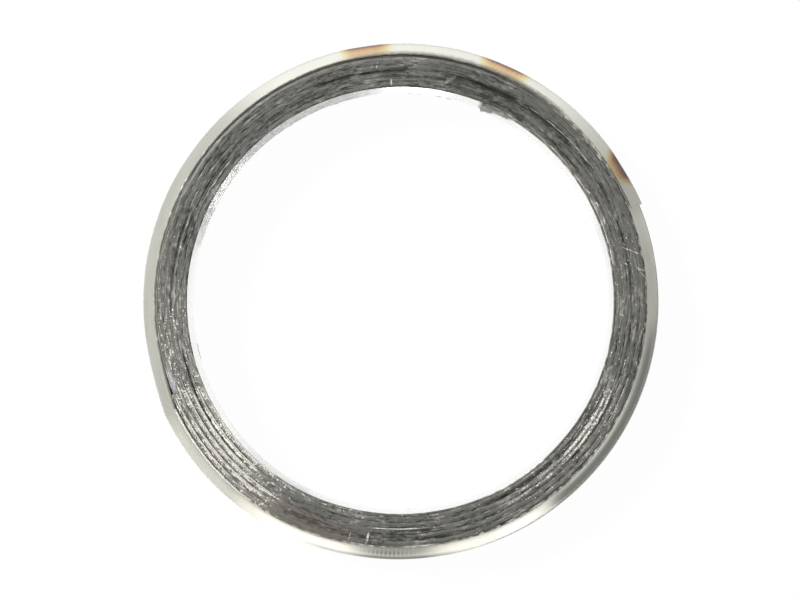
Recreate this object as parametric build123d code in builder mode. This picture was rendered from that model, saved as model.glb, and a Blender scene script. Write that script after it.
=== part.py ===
"""Spiral wound gasket for an exhaust joint.

A thin stainless strip of V section is wound with a strip of flexible graphite.
The two strips nest turn on turn, so that one spring-like ring is formed: its
first and last turns lie steel on steel and are held by spot welds, and the
graphite stands a little proud of the steel edges on both faces.

Frame: origin on the bore's axis in the lower sealing face, +Z towards the upper
sealing face, millimetres. Seen from above the strips are wound outwards clockwise.
"""

import os
from dataclasses import dataclass
from math import acos, atan2, cos, degrees, radians, sin

from build123d import *

# Ring
bore_radius = 27.0  # clear radius inside the first turn's edges
face_height = 5.0  # over the graphite, from sealing face to sealing face
graphite_proud = 0.12  # graphite above the steel edges, on each face

# Strips, thicknesses measured square to their flanks
steel_thickness = 0.2
graphite_thickness = 0.39
vee_depth = 1.85  # how far the nose at mid-height stands outside the edges
wrap_clearance = 0.03  # between turns that lie steel on steel

# Winding, angles turned clockwise from the strip's inner end
inner_end_direction = 67.6  # where that end lies, anticlockwise from +X
filled_turns = 5  # whole turns of graphite
climb_from = 142.4  # plain wrap before the first climb over the graphite
climb_arc = 70.0  # arc over which each turn climbs by one layer
graphite_run = 12.8  # graphite past the last climb
drop_lead = 4.1  # graphite's tail, which the strip pinches on its way down
drop_bend_radius = 4.8  # of the strip's edge, where it turns down over the tail
outer_overlap = 45.6  # strip past its last whole turn

# Spot welds of the plain wraps, as arcs from each end of the strip
weld_arcs = (9.5, 44.0, 76.0)
weld_width = 1.2  # of the nugget, along the strip and across it
weld_bite = 0.06  # nugget into each of the two turns
electrode_flat_depth = 0.1  # nose pressed flat by the electrode, outer welds only

# Worked out from the sizes above
full_turn = 360.0
mid_height = face_height / 2
steel_half_width = mid_height - graphite_proud
flank_angle = atan2(vee_depth, steel_half_width)
steel_step = steel_thickness / cos(flank_angle)  # radial thickness of the steel
graphite_step = graphite_thickness / cos(flank_angle)
wrap_pitch = steel_step + wrap_clearance
layer_pitch = steel_step + graphite_step
climb_end = climb_from + climb_arc
graphite_start = climb_from + climb_arc / 2  # tapers in under the second turn
graphite_end = filled_turns * full_turn + climb_end + graphite_run
drop_start = graphite_end + full_turn - drop_lead
last_radius = bore_radius + wrap_pitch + (filled_turns + 1) * layer_pitch  # before the drop
drop = layer_pitch - wrap_pitch
drop_arc = 2 * degrees(acos(1 - drop / (2 * (last_radius - drop_bend_radius))))
strip_end = (filled_turns + 2) * full_turn + outer_overlap
tool_depth = 2 * graphite_step  # of the solids that trim the graphite's two ends


def direction(turned: float) -> Vector:
    """Outward direction at an angle turned from the strip's inner end."""
    angle = radians(inner_end_direction - turned)
    return Vector(cos(angle), sin(angle))


@dataclass
class Arc:
    """A stretch of the strip's path: one arc about its own centre."""

    centre: Vector
    radius: float  # of the inner side of the strip, at its edges
    start: float
    stop: float


def step(radius: float, rise: float, start: float, arc: float) -> list[Arc]:
    """Two tangent arcs that carry the strip out, or in, by rise."""
    shift = rise / (2 * (1 - cos(radians(arc / 2))))
    middle = start + arc / 2
    stop = start + arc
    return [
        Arc(direction(start) * -shift, radius + shift, start, middle),
        Arc(direction(stop) * shift, radius + rise - shift, middle, stop),
    ]


def strip_path() -> list[Arc]:
    """The strip's path from its inner end to its outer end."""
    axis_point = Vector(0, 0)
    radius = bore_radius
    turned = 0.0
    arcs = []
    for turn in range(filled_turns + 2):
        rise = layer_pitch if turn else wrap_pitch
        start = turn * full_turn + climb_from
        arcs.append(Arc(axis_point, radius, turned, start))
        arcs += step(radius, rise, start, climb_arc)
        radius += rise
        turned = start + climb_arc
    arcs.append(Arc(axis_point, radius, turned, drop_start))
    arcs += step(radius, -drop, drop_start, drop_arc)
    arcs.append(Arc(axis_point, radius - drop, drop_start + drop_arc, strip_end))
    return arcs


path = strip_path()


def stretch(start: float, stop: float) -> list[Arc]:
    """The part of the strip's path between two angles."""
    return [
        Arc(arc.centre, arc.radius, max(arc.start, start), min(arc.stop, stop))
        for arc in path
        if arc.start < stop and arc.stop > start
    ]


def arc_at(turned: float) -> Arc:
    """The arc that the strip follows at an angle."""
    return next(arc for arc in path if arc.start <= turned <= arc.stop)


def wind(arcs: list[Arc], inside: float, outside: float, half_width: float, mode: Mode = Mode.ADD):
    """Carry a V section along the path; inside and outside are offsets from the strip's inner side."""
    edge_offset = vee_depth * (1 - half_width / steel_half_width)
    low, high = mid_height - half_width, mid_height + half_width
    for arc in arcs:
        outward = direction(arc.start)
        inner_edge = arc.radius + inside + edge_offset
        outer_edge = arc.radius + outside + edge_offset
        inner_nose = arc.radius + inside + vee_depth
        outer_nose = arc.radius + outside + vee_depth
        with BuildSketch(Plane(arc.centre, x_dir=outward, z_dir=outward.cross(Vector(0, 0, 1)))) as section:
            with BuildLine():
                Polyline(
                    (inner_edge, low),
                    (inner_nose, mid_height),
                    (inner_edge, high),
                    (outer_edge, high),
                    (outer_nose, mid_height),
                    (outer_edge, low),
                    close=True,
                )
            make_face()
        revolve(section.sketch, Axis(arc.centre, (0, 0, -1)), arc.stop - arc.start, mode=mode)


def weld(turned: float):
    """A nugget through the clearance under the turn at an angle, which joins it to the turn inside."""
    here = arc_at(turned)
    half_arc = degrees(weld_width / 2 / (here.radius + vee_depth))
    spot = Arc(here.centre, here.radius, turned - half_arc, turned + half_arc)
    wind([spot], -wrap_clearance - weld_bite, weld_bite, weld_width / 2)


def electrode_flat(turned: float):
    """The flat that the electrode pressed on the nose of the outermost turn."""
    here = arc_at(turned)
    nose = here.radius + steel_step + vee_depth
    outward = direction(turned)
    flat = Plane(
        outward * (nose - electrode_flat_depth) + Vector(0, 0, mid_height),
        x_dir=outward.cross(Vector(0, 0, 1)),
        z_dir=outward,
    )
    with Locations(flat):
        Box(
            nose,  # far longer than the flat
            steel_half_width,
            vee_depth,
            align=(Align.CENTER, Align.CENTER, Align.MIN),
            mode=Mode.SUBTRACT,
        )


# The steel strip: seven turns and the overlap, one solid held by its spot welds
with BuildPart() as winding_strip:
    wind(path, 0, steel_step, steel_half_width)
    for weld_arc in weld_arcs:
        weld(full_turn + weld_arc)
        weld(strip_end - weld_arc)
        electrode_flat(strip_end - weld_arc)

# The graphite's inner end, which tapers in between the first two turns
with BuildPart() as graphite_taper:
    wind(stretch(full_turn + graphite_start, full_turn + climb_end), -tool_depth, 0, mid_height)
    wind(
        stretch(graphite_start, climb_end),
        steel_step - 2 * tool_depth,
        steel_step,
        mid_height,
        mode=Mode.SUBTRACT,
    )

# The graphite's tail, trimmed where the last turn of steel comes down over it
with BuildPart() as graphite_tail:
    wind(
        stretch(graphite_end - drop_lead, graphite_end),
        steel_step,
        steel_step + tool_depth,
        mid_height,
    )
    wind(
        stretch(drop_start, drop_start + drop_arc),
        0,
        2 * tool_depth,
        mid_height,
        mode=Mode.SUBTRACT,
    )

# The graphite strip between the steel turns
with BuildPart() as graphite_filler:
    wind(stretch(climb_end, graphite_end - drop_lead), steel_step, layer_pitch, mid_height)
    add(graphite_taper.part)
    add(graphite_tail.part)

winding_strip.part.label = "winding_strip"
graphite_filler.part.label = "graphite_filler"

os.makedirs("parts", exist_ok=True)
export_step(winding_strip.part, "parts/winding_strip.step")
export_step(graphite_filler.part, "parts/graphite_filler.step")
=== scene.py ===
"""Looks of a spiral wound gasket: a stainless strip of V section wound with graphite.

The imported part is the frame. The path of the winding is worked out here from the same
driving sizes, both strips are rebuilt on it as fine surfaces, and each gets its finish.

Sizes are in millimetres until a surface is written into a mesh, and arcs and bearings
in degrees. An angle that is `turned` runs clockwise from the strip's inner end and goes
on past a full turn; a `bearing` runs anticlockwise from +X. An amount, share or strength
of 1 is the full effect.
"""

import logging
from dataclasses import dataclass
from enum import Enum
from functools import cached_property

import bpy
import numpy as np
from mathutils import Matrix, Vector

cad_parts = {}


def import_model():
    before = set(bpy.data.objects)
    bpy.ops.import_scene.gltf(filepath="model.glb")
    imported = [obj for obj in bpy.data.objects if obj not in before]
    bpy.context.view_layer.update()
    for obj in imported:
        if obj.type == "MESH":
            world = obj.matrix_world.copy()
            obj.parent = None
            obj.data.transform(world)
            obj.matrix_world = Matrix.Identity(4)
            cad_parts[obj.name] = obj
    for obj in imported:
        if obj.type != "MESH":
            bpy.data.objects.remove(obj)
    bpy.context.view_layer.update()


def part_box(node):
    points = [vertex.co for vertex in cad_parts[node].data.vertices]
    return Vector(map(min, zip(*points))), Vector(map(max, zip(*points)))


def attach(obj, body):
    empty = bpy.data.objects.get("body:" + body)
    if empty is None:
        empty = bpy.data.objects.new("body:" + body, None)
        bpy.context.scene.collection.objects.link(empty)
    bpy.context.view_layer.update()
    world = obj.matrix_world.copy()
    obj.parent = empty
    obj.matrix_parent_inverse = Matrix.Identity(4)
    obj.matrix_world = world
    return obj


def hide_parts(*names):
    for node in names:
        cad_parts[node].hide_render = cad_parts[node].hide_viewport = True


MILLIMETRE = 0.001
FULL_TURN = 360.0
ATTRIBUTE_PLACE = "place"
ATTRIBUTE_PAINTED_LIGHT_AND_STRAW = "painted_light_and_straw"
ATTRIBUTE_STAIN_AND_SHADE = "stains_and_shade"
ATTRIBUTE_WEAR = "wear"
UPPER_SEED, LOWER_SEED = 20, 60  # of the patterns of the two faces
LATTICE_STEPS = (127.1, 311.7, 74.7)  # for each column, row and seed
LATTICE_SINE = 43758.5453

Range = tuple[float, float]  # where an ease starts and ends, or the two ends of a blend
Colour = tuple[float, float, float]
Socket = bpy.types.NodeSocket
Value = Socket | float | tuple[float, ...]

log = logging.getLogger("gasket")


# Small numeric helpers


def smooth_step(value: np.ndarray) -> np.ndarray:
    """Ease from 0 to 1: three squares less two cubes of the clipped value."""
    clipped = np.clip(value, 0.0, 1.0)
    return clipped * clipped * (3.0 - 2.0 * clipped)


def fade(value: np.ndarray) -> np.ndarray:
    """Ease from 1 at 0 to nothing at 1."""
    return 1 - smooth_step(value)


def lattice_number(column: np.ndarray, row: np.ndarray, seed: int) -> np.ndarray:
    """Repeatable number from 0 to 1 for each lattice point: the fraction of a large sine."""
    by_column, by_row, by_seed = LATTICE_STEPS
    value = np.sin(column * by_column + row * by_row + seed * by_seed) * LATTICE_SINE
    return value - np.floor(value)


def smooth_noise(along: np.ndarray, seed: int, across: np.ndarray | float = 0.0) -> np.ndarray:
    """Noise from 0 to 1 whose hills are about one unit apart.

    The numbers of the four lattice points round each place are blended by the eased
    distance along and across.

    Args:
        along: first coordinate of each place.
        seed: picks the pattern.
        across: second coordinate, which broadcasts with the first.

    Returns:
        One number for each place.
    """
    along, across = np.broadcast_arrays(along, across)
    column, row = np.floor(along), np.floor(across)
    ease_along, ease_across = smooth_step(along - column), smooth_step(across - row)
    near = lattice_number(column, row, seed) * (1 - ease_along)
    near = near + lattice_number(column + 1, row, seed) * ease_along
    far = lattice_number(column, row + 1, seed) * (1 - ease_along)
    far = far + lattice_number(column + 1, row + 1, seed) * ease_along
    return near * (1 - ease_across) + far * ease_across


def bearing_gap(bearing: np.ndarray, middle: float) -> np.ndarray:
    """Signed angle from a bearing to another, between minus and plus half a turn."""
    half = FULL_TURN / 2
    return (bearing - middle + half) % FULL_TURN - half


def vectors(*parts: np.ndarray) -> np.ndarray:
    """Vectors from their parts, which are spread to one shape."""
    return np.stack(np.broadcast_arrays(*parts), axis=-1)


@dataclass(frozen=True)
class Mottle:
    """Smooth noise over the turns: the arc and width of its hills, its range and its seed."""

    arc: float
    width: float = np.inf
    base: float = 0.0
    swing: float = 1.0
    seed: int = 0

    def over(self, turned: np.ndarray, seed: int, across: np.ndarray | float = 0.0) -> np.ndarray:
        """The base plus the swing times the noise at each place."""
        return self.base + self.swing * smooth_noise(turned / self.arc, seed + self.seed, across / self.width)


@dataclass(frozen=True)
class Stretch:
    """A stretch along the turns: its middle and reach, along and across, and its strength."""

    bearing: float
    half_arc: float
    middle: float = 0.0
    half_width: float = np.inf
    amount: float = 1.0

    def share(self, bearing: np.ndarray, across: np.ndarray) -> np.ndarray:
        """The amount, eased off past a part of the half arc and of the half width.

        Args:
            bearing: of each place.
            across: distance or height of each place, as the middle is given.

        Returns:
            One number for each place.
        """
        full_along, ease_along = 0.6, 0.5
        full_across, ease_across = 0.35, 0.85
        along = np.abs(bearing_gap(bearing, self.bearing)) / self.half_arc
        beside = np.abs(across - self.middle) / self.half_width
        ends, sides = fade((along - full_along) / ease_along), fade((beside - full_across) / ease_across)
        return self.amount * ends * sides


def together(stretches: tuple[Stretch, ...], bearing: np.ndarray, across: np.ndarray) -> np.ndarray:
    """The sum of several stretches."""
    return sum(stretch.share(bearing, across) for stretch in stretches)


# The path of the winding


@dataclass(frozen=True)
class Winding:
    """The path that both strips follow, and their V section."""

    face_height: float  # over both faces
    graphite_proud: float  # above the steel's edge, on each face
    bore_radius: float = 27.0  # at the innermost turn's edges
    steel_thickness: float = 0.2
    graphite_thickness: float = 0.39
    vee_depth: float = 1.85  # from the edges out to the nose
    nose_rounding: float = 0.25  # height at which the bend has mostly straightened
    wrap_clearance: float = 0.03  # between wraps that lie steel on steel
    inner_end_bearing: float = 67.6
    filled_turns: int = 5  # with graphite over them
    climb_from: float = 142.4  # angle past each full turn where the turn starts to climb
    climb_arc: float = 70.0
    graphite_run: float = 12.8  # from the end of the last climb under it to the graphite's outer end
    drop_lead: float = 4.1  # from the start of the steel's drop to the graphite's end
    drop_bend_radius: float = 4.8
    outer_overlap: float = 45.6  # past the last full turn
    weld_arcs: tuple[float, ...] = (9.5, 44.0, 76.0)  # back from the strip's outer end
    table_step: float = 0.1  # between the samples of the path

    @property
    def mid_height(self) -> float:
        """Height of the nose of the V."""
        return self.face_height / 2

    @property
    def half_width(self) -> float:
        """Half the width of the steel strip."""
        return self.mid_height - self.graphite_proud

    @property
    def slant(self) -> float:
        """Radial size of a layer for each unit of its thickness."""
        return float(np.hypot(self.vee_depth, self.half_width) / self.half_width)

    @property
    def steel_step(self) -> float:
        """Radial size of the steel."""
        return self.steel_thickness * self.slant

    @property
    def wrap_pitch(self) -> float:
        """Rise of a turn that lies steel on steel."""
        return self.steel_step + self.wrap_clearance

    @property
    def layer_pitch(self) -> float:
        """Rise of a turn over the graphite."""
        return self.steel_step + self.graphite_thickness * self.slant

    @property
    def graphite_end(self) -> float:
        """Where the graphite's outer end lies."""
        climb_end = self.climb_from + self.climb_arc
        return self.filled_turns * FULL_TURN + climb_end + self.graphite_run

    @property
    def drop_start(self) -> float:
        """Where the steel turns down over the graphite's outer end."""
        return self.graphite_end + FULL_TURN - self.drop_lead

    @property
    def strip_end(self) -> float:
        """Where the steel's outer end lies."""
        return (self.filled_turns + 2) * FULL_TURN + self.outer_overlap

    @cached_property
    def arcs(self) -> np.ndarray:
        """The arcs of the path, each tangent to the next.

        Returns:
            One row for each arc: centre x, centre y, radius and the angle where it starts.
        """
        rows = []
        radius, turned = self.bore_radius, 0.0
        for turn in range(self.filled_turns + 2):
            rise = self.layer_pitch if turn else self.wrap_pitch
            start = turn * FULL_TURN + self.climb_from
            rows.append((0.0, 0.0, radius, turned))
            rows += self.step(radius, rise, start, self.climb_arc)
            radius += rise
            turned = start + self.climb_arc
        rows.append((0.0, 0.0, radius, turned))
        drop = self.layer_pitch - self.wrap_pitch
        half_arc = np.degrees(np.arccos(1 - drop / (2 * (radius - self.drop_bend_radius))))
        rows += self.step(radius, -drop, self.drop_start, 2 * half_arc)
        rows.append((0.0, 0.0, radius - drop, self.drop_start + 2 * half_arc))
        return np.array(rows)

    def step(self, radius: float, rise: float, start: float, arc: float) -> list[tuple[float, ...]]:
        """Two tangent arcs that carry the strip out by rise.

        The first arc's centre is moved back along the outward direction at the start,
        and the second's forward along the one at the stop, by the same shift, so that
        the two meet with one tangent in the middle.

        Args:
            radius: of the strip before the step.
            rise: how far it climbs; a drop is negative.
            start: angle turned at the start.
            arc: angle that both arcs take together.

        Returns:
            The rows of the two arcs.
        """
        shift = rise / (2 * (1 - np.cos(np.radians(arc / 2))))
        first = -shift * self.outward(np.array(start))
        second = shift * self.outward(np.array(start + arc))
        return [
            (first[0], first[1], radius + shift, start),
            (second[0], second[1], radius + rise - shift, start + arc / 2),
        ]

    def bearing(self, turned: np.ndarray) -> np.ndarray:
        """Bearing of an angle turned."""
        return self.inner_end_bearing - turned

    def outward(self, turned: np.ndarray) -> np.ndarray:
        """Unit vector across the strip, away from the bore."""
        angle = np.radians(self.bearing(turned))
        return np.stack((np.cos(angle), np.sin(angle)), axis=-1)

    def vee(self, height: np.ndarray) -> np.ndarray:
        """Reach of the rounded V at a height above its nose: one branch of a hyperbola."""
        reach = np.hypot(self.half_width, self.nose_rounding) - self.nose_rounding
        return self.vee_depth * (1 - (np.hypot(height, self.nose_rounding) - self.nose_rounding) / reach)

    def round_axis(self, bearing: np.ndarray, radius: np.ndarray, height: np.ndarray) -> np.ndarray:
        """Points round the bore's axis: the radius plus the V's reach, along the bearing.

        Args:
            bearing: of each point.
            radius: distance from the axis at the strip's edges.
            height: above the nose.

        Returns:
            The points, with x, y and z along the last axis.
        """
        angle, level = np.radians(bearing), radius + self.vee(height)
        return vectors(level * np.cos(angle), level * np.sin(angle), height + self.mid_height)

    def place(self, turned: np.ndarray, offset: np.ndarray, height: np.ndarray) -> np.ndarray:
        """Points of the strip.

        Each point is its arc's centre plus the outward direction times the sum of the
        arc's radius, the offset and the V at that height.

        Args:
            turned: angle of each point.
            offset: distance out from the strip's inner side.
            height: above the nose.

        Returns:
            The points, with x, y and z along the last axis.
        """
        turned, offset, height = np.broadcast_arrays(turned, offset, height)
        row = np.searchsorted(self.arcs[:, 3], turned, side="right") - 1
        centre, radius = self.arcs[row, :2], self.arcs[row, 2]
        level = centre + (radius + offset + self.vee(height))[..., None] * self.outward(turned)
        return np.concatenate((level, (height + self.mid_height)[..., None]), axis=-1)

    def side(self, turned: np.ndarray, offset: float) -> np.ndarray:
        """Distance from the bore's axis to one side of the steel, at the edges.

        The path is sampled finely, each sample's own angle about the axis is worked
        out, and the distance is read off between samples.

        Args:
            turned: angles about the bore's axis.
            offset: 0 for the inner side of the steel, steel_step for the outer one.

        Returns:
            One distance for each angle.
        """
        sample = np.arange(0.0, self.strip_end, self.table_step)
        points = self.place(sample, np.array(offset), np.array(self.half_width))
        bearing = np.degrees(np.arctan2(points[:, 1], points[:, 0]))
        around = sample + bearing_gap(self.bearing(sample), bearing)
        return np.interp(turned, around, np.hypot(points[:, 0], points[:, 1]))

    def outer_welds(self) -> np.ndarray:
        """Angles of the spot welds that hold the strip's outer end."""
        return self.strip_end - np.array(self.weld_arcs)


def winding_from_frame() -> Winding:
    """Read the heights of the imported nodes.

    Returns:
        The winding, as high as they are.
    """
    graphite_low, graphite_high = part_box("graphite_filler")
    _, steel_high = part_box("winding_strip")
    return Winding(
        face_height=(graphite_high.z - graphite_low.z) / MILLIMETRE,
        graphite_proud=(graphite_high.z - steel_high.z) / MILLIMETRE,
    )


# Meshes


def loft(name: str, points: np.ndarray, sharp_angle: float) -> bpy.types.Object:
    """A closed shell through a row of section loops.

    The faces join each loop's neighbouring points to the next loop's, the loops close
    on themselves, and one face caps each end.

    Args:
        name: of the object.
        points: loop by loop, in millimetres, seen clockwise along the path.
        sharp_angle: degrees between faces above which their edge stays sharp.

    Returns:
        The object, at the origin and in metres.
    """
    loops, around = points.shape[:2]
    here = np.arange(loops - 1)[:, None] * around
    this = np.arange(around)[None, :]
    following = (this + 1) % around
    ahead = here + around
    quads = np.stack((here + this, ahead + this, ahead + following, here + following), axis=-1)
    first_cap = np.arange(around).tolist()
    last_cap = (np.arange(around)[::-1] + (loops - 1) * around).tolist()
    mesh = bpy.data.meshes.new(name)
    mesh.from_pydata(
        (points.reshape(-1, 3) * MILLIMETRE).tolist(),
        [],
        quads.reshape(-1, 4).tolist() + [first_cap, last_cap],
    )
    mesh.shade_smooth()
    mesh.set_sharp_from_angle(angle=float(np.radians(sharp_angle)))
    piece = bpy.data.objects.new(name, mesh)
    bpy.context.scene.collection.objects.link(piece)
    return piece


def write_numbers(piece: bpy.types.Object, name: str, values: np.ndarray) -> None:
    """Store one number for each vertex."""
    attribute = piece.data.attributes.new(name, "FLOAT", "POINT")
    attribute.data.foreach_set("value", values.astype(np.float32).ravel())


def write_vectors(piece: bpy.types.Object, name: str, values: np.ndarray) -> None:
    """Store one vector for each vertex."""
    attribute = piece.data.attributes.new(name, "FLOAT_VECTOR", "POINT")
    attribute.data.foreach_set("vector", values.astype(np.float32).ravel())


# Materials


@dataclass(frozen=True)
class Grain:
    """A noise pattern of a finish: hills for each unit of the three axes, detail and warp."""

    scale: tuple[float, float, float]
    detail: float = 2.0
    distortion: float = 0.0


@dataclass(frozen=True)
class Mark:
    """A scratch, smear or stain on the upper face: an ellipse, leaning from the radial direction."""

    bearing: float
    radius: float
    lean: float
    half_length: float
    half_width: float
    strength: float

    @property
    def centre(self) -> tuple[float, float, float]:
        """Its middle, in metres."""
        around, radius = np.radians(self.bearing), self.radius * MILLIMETRE
        return (radius * float(np.cos(around)), radius * float(np.sin(around)), 0.0)

    @property
    def turn(self) -> tuple[float, float, float]:
        """Its turn from +X, in radians."""
        return (0.0, 0.0, float(np.radians(self.bearing + self.lean)))

    @property
    def reach(self) -> tuple[float, float, float]:
        """Its half length and half width in metres, and 1 upwards."""
        return (self.half_length * MILLIMETRE, self.half_width * MILLIMETRE, 1.0)


class Shader:
    """A node tree, with one short method for each kind of node."""

    # Numbers of a Mix node's sockets for colours
    MIX_SHARE, MIX_FIRST, MIX_SECOND, MIX_RESULT = 0, 6, 7, 2
    # Where a mark starts to fade and where it has gone, in parts of its own size
    MARK_RIM = (0.6, 1.15)

    def __init__(self, owner: bpy.types.Material | bpy.types.World, output: str = "OutputMaterial") -> None:
        """Empty a tree and give it its output.

        Args:
            owner: material or world whose tree it is.
            output: kind of the output node.
        """
        owner.use_nodes = True
        self.owner = owner
        self.tree = owner.node_tree
        self.tree.nodes.clear()
        self.output = self.tree.nodes.new("ShaderNode" + output)

    def feed(self, socket: Socket, value: Value) -> None:
        """Link a socket, or set a plain value on it.

        Args:
            socket: input to feed.
            value: another node's output, a number, a vector or a colour.
        """
        if isinstance(value, Socket):
            self.tree.links.new(value, socket)
        elif socket.type == "RGBA":
            socket.default_value = (*value, 1.0)
        else:
            socket.default_value = value

    def node(
        self, kind: str, inputs: dict[int | str, Value], output: int | str = 0, **options: str | bool
    ) -> Socket:
        """Add a node.

        Args:
            kind: of node.
            inputs: what goes into its sockets, by their names or numbers.
            output: name or number of the output wanted.
            options: the node's own settings.

        Returns:
            That output.
        """
        node = self.tree.nodes.new("ShaderNode" + kind)
        for name, option in options.items():
            setattr(node, name, option)
        for name, value in inputs.items():
            self.feed(node.inputs[name], value)
        return node.outputs[output]

    def maths(self, operation: str, first: Value, second: Value, clamp: bool = False) -> Socket:
        """One sum of two numbers."""
        return self.node("Math", {0: first, 1: second}, operation=operation, use_clamp=clamp)

    def times(self, first: Value, second: Value) -> Socket:
        """One number times another."""
        return self.maths("MULTIPLY", first, second)

    def plus(self, total: Value, *terms: tuple[Value, Value]) -> Socket:
        """A number plus each term's value times its weight.

        Args:
            total: what the terms are added to.
            terms: a value and its weight each.

        Returns:
            The sum.
        """
        for value, weight in terms:
            total = self.maths("ADD", total, self.times(value, weight))
        return total

    def attribute(self, name: str, output: str) -> Socket:
        """A number or a vector stored on the mesh."""
        return self.node("Attribute", {}, output, attribute_name=name)

    def parts(self, vector: Value) -> list[Socket]:
        """The three parts of a vector."""
        return list(self.node("SeparateXYZ", {0: vector}).node.outputs)

    def object_place(self) -> Socket:
        """Coordinates of the object, in metres."""
        return self.node("TexCoord", {}, "Object")

    def ray(self, kind: str) -> Socket:
        """1 where the ray is of this kind."""
        return self.node("LightPath", {}, kind)

    def length(self, vector: Value) -> Socket:
        """The length of a vector."""
        return self.node("VectorMath", {0: vector}, "Value", operation="LENGTH")

    def noise(self, vector: Value, grain: Grain) -> Socket:
        """Smooth noise from 0 to 1, on the vector times the grain's scale.

        Args:
            vector: coordinates of the pattern.
            grain: its size and kind.

        Returns:
            The noise.
        """
        scaled = self.node("VectorMath", {0: vector, 1: grain.scale}, operation="MULTIPLY")
        inputs = {"Vector": scaled, "Scale": 1.0, "Detail": grain.detail, "Distortion": grain.distortion}
        return self.node("TexNoise", inputs, "Fac")

    def spread(self, value: Value, low: float, high: float) -> Socket:
        """Ease a number from 0 at low to 1 at high."""
        inputs = {"Value": value, "From Min": low, "From Max": high}
        return self.node("MapRange", inputs, "Result", interpolation_type="SMOOTHSTEP")

    def between(self, share: Value, low: float, high: float) -> Socket:
        """Blend in a straight line from low to high."""
        return self.node("MapRange", {"Value": share, "To Min": low, "To Max": high}, "Result")

    def mix(self, share: Value, first: Value, second: Value, blend: str = "MIX") -> Socket:
        """Blend two colours."""
        inputs = {self.MIX_SHARE: share, self.MIX_FIRST: first, self.MIX_SECOND: second}
        return self.node("Mix", inputs, self.MIX_RESULT, data_type="RGBA", blend_type=blend)

    def ramp(self, share: Value, stops: tuple[tuple[float, Colour], ...]) -> Socket:
        """Colour along a row of stops.

        Args:
            share: place along the row.
            stops: place and colour of each.

        Returns:
            The colour.
        """
        ramp = self.node("ValToRGB", {"Fac": share}, "Color")
        elements = ramp.node.color_ramp.elements
        while len(elements) < len(stops):
            elements.new(1.0)
        for element, (position, colour) in zip(elements, stops):
            element.position = position
            element.color = (*colour, 1.0)
        return ramp

    def ellipse(self, vector: Value, mark: Mark) -> Socket:
        """A mark's strength inside it, easing to 0 past its rim.

        The ease goes by the length of the place in the mark's own frame, in which the
        ellipse is a circle of radius 1.

        Args:
            vector: the place, in metres.
            mark: the ellipse.

        Returns:
            Its strength at that place.
        """
        frame = {"Vector": vector, "Location": mark.centre, "Rotation": mark.turn, "Scale": mark.reach}
        place = self.node("Mapping", frame, vector_type="TEXTURE")
        past_rim = self.spread(self.length(place), *self.MARK_RIM)
        return self.times(self.maths("SUBTRACT", 1.0, past_rim), mark.strength)

    def bump(self, height: Value, strength: Value, distance: float) -> Socket:
        """Normal of a surface raised by a height from 0 to 1, over a distance in metres."""
        return self.node("Bump", {"Strength": strength, "Distance": distance, "Height": height}, "Normal")

    def finish(self, surface: Socket) -> bpy.types.Material | bpy.types.World:
        """Link the surface to the output."""
        self.tree.links.new(surface, self.output.inputs["Surface"])
        return self.owner


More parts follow.
